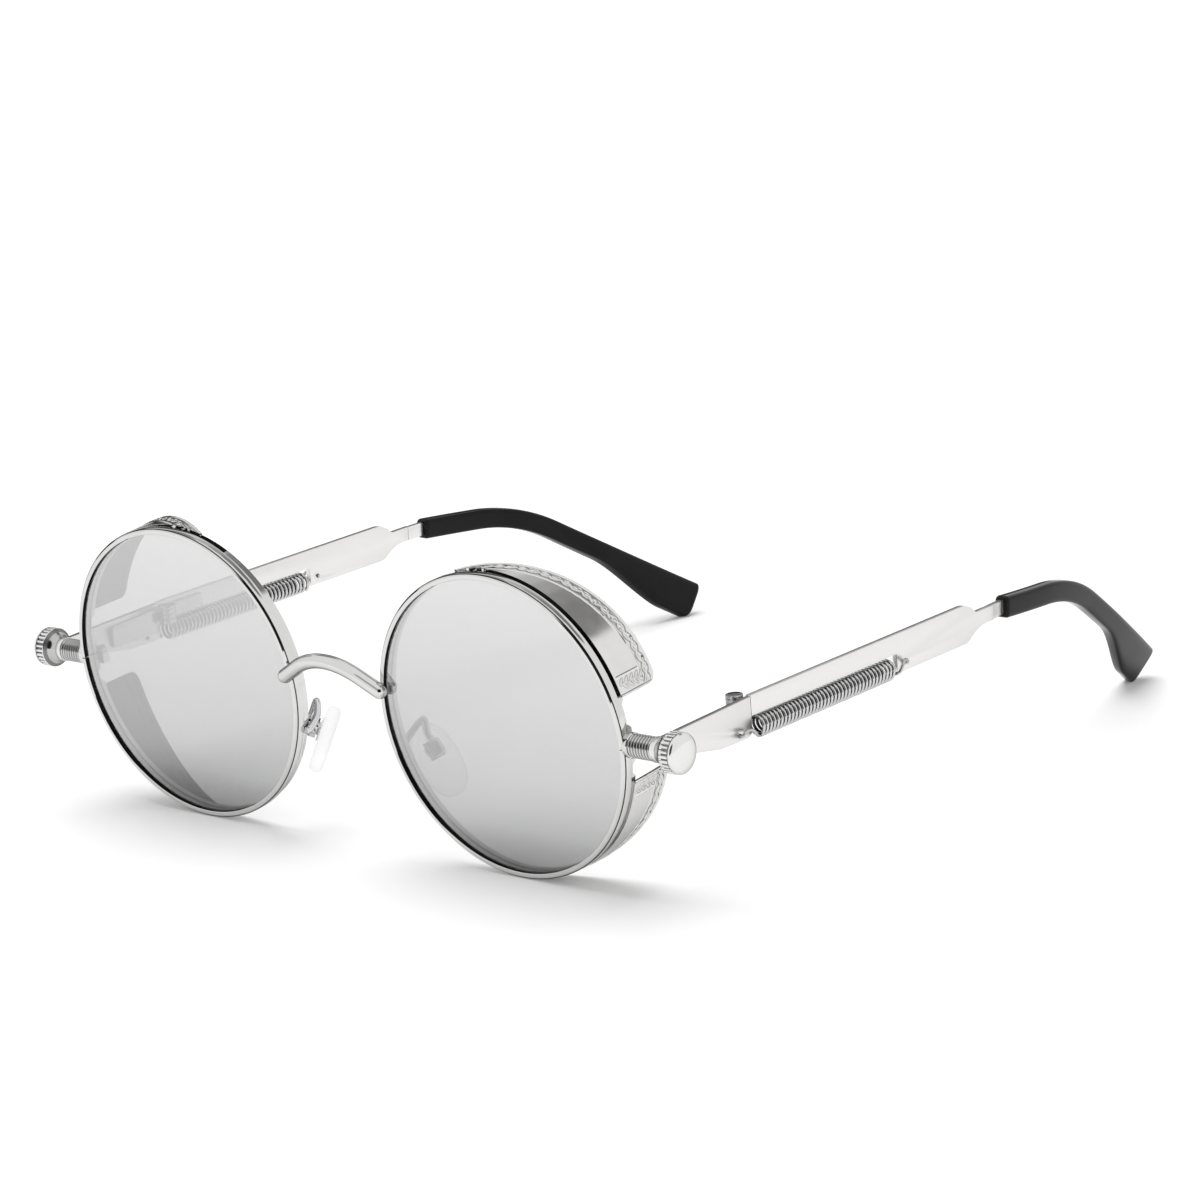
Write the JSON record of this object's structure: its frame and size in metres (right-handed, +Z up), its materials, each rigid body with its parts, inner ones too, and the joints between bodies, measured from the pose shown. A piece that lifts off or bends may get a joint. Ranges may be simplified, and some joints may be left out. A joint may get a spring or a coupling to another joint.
{
  "type": "sunglasses",
  "caption": "Round metal sunglasses with silver mirror lenses, pressed side shields, threaded side bolts with knurled knobs, and temples that fold on hinges wrapped by coil springs",
  "frame": {"origin": "Centre of the footprint, in the surface that the glasses rest on", "axes": "+X to the side, +Y from the lenses back along the temples, +Z up"},
  "size_m": [0.146, 0.161, 0.0524],
  "materials": {
    "polished_rim": "Polished silver plating",
    "mirror_lens": "Tinted lens with a silver mirror coating, slightly see-through",
    "pressed_shield": "Satin silver sheet with a pressed border",
    "satin_plate": "Satin silver sheet",
    "small_screw": "Plain steel",
    "threaded_steel": "Bright threaded steel",
    "knurled_knob": "Bright silver with a grooved ring",
    "polished_cap": "Polished silver dome",
    "pad_insert": "Pale plastic insert",
    "clear_silicone": "Clear silicone rubber",
    "black_tip": "Glossy black acetate",
    "spring_wire": "Bright round spring wire"
  },
  "bodies": {
    "front": {"rim_left": "polished_rim", "rim_right": "polished_rim", "lens_left": "mirror_lens", "lens_right": "mirror_lens", "bridge": "polished_rim", "shield_upper_left": "pressed_shield", "shield_upper_right": "pressed_shield", "shield_lower_left": "pressed_shield", "shield_lower_right": "pressed_shield", "rim_lock_left": "satin_plate", "rim_lock_right": "satin_plate", "lock_screw_left": "small_screw", "lock_screw_right": "small_screw", "side_bolt_left": "threaded_steel", "side_bolt_right": "threaded_steel", "end_plate_left": "satin_plate", "end_plate_right": "satin_plate", "knob_left": "knurled_knob", "knob_right": "knurled_knob", "knob_cap_left": "polished_cap", "knob_cap_right": "polished_cap", "pad_arm_left": "polished_rim", "pad_arm_right": "polished_rim", "pad_box_left": "polished_rim", "pad_box_right": "polished_rim", "pad_screw_left": "small_screw", "pad_screw_right": "small_screw", "front_hinge_left": "satin_plate", "front_hinge_right": "satin_plate", "hinge_screw_left": "small_screw", "hinge_screw_right": "small_screw"},
    "temple_left": {"temple_left": "satin_plate", "temple_tip_left": "black_tip", "rear_hinge_left": "satin_plate", "spring_left": "spring_wire"},
    "nose_pad_left": {"nose_pad_left": "clear_silicone", "pad_lug_left": "pad_insert"},
    "temple_right": {"temple_right": "satin_plate", "temple_tip_right": "black_tip", "rear_hinge_right": "satin_plate", "spring_right": "spring_wire"},
    "nose_pad_right": {"nose_pad_right": "clear_silicone", "pad_lug_right": "pad_insert"}
  },
  "joints": [
    {"name": "temple_fold_left", "type": "hinge", "parent": "front", "child": "temple_left", "pos_m": [-0.06477, -0.0526, 0.02759], "axis": [0, 0.0326, -0.9995], "range_deg": [0, 88], "deforming": ["spring_left"]},
    {"name": "temple_fold_right", "type": "hinge", "parent": "front", "child": "temple_right", "pos_m": [0.06477, -0.0526, 0.02759], "axis": [0, -0.0326, 0.9995], "range_deg": [0, 80], "deforming": ["spring_right"]},
    {"name": "nose_pad_rock_left", "type": "hinge", "parent": "front", "child": "nose_pad_left", "pos_m": [-0.01404, -0.06905, 0.01765], "axis": [-0.4542, 0.8119, 0.3668], "range_deg": [-8, 8]},
    {"name": "nose_pad_rock_right", "type": "hinge", "parent": "front", "child": "nose_pad_right", "pos_m": [0.01404, -0.06905, 0.01765], "axis": [0.4542, 0.8119, 0.3668], "range_deg": [-8, 8]}
  ]
}
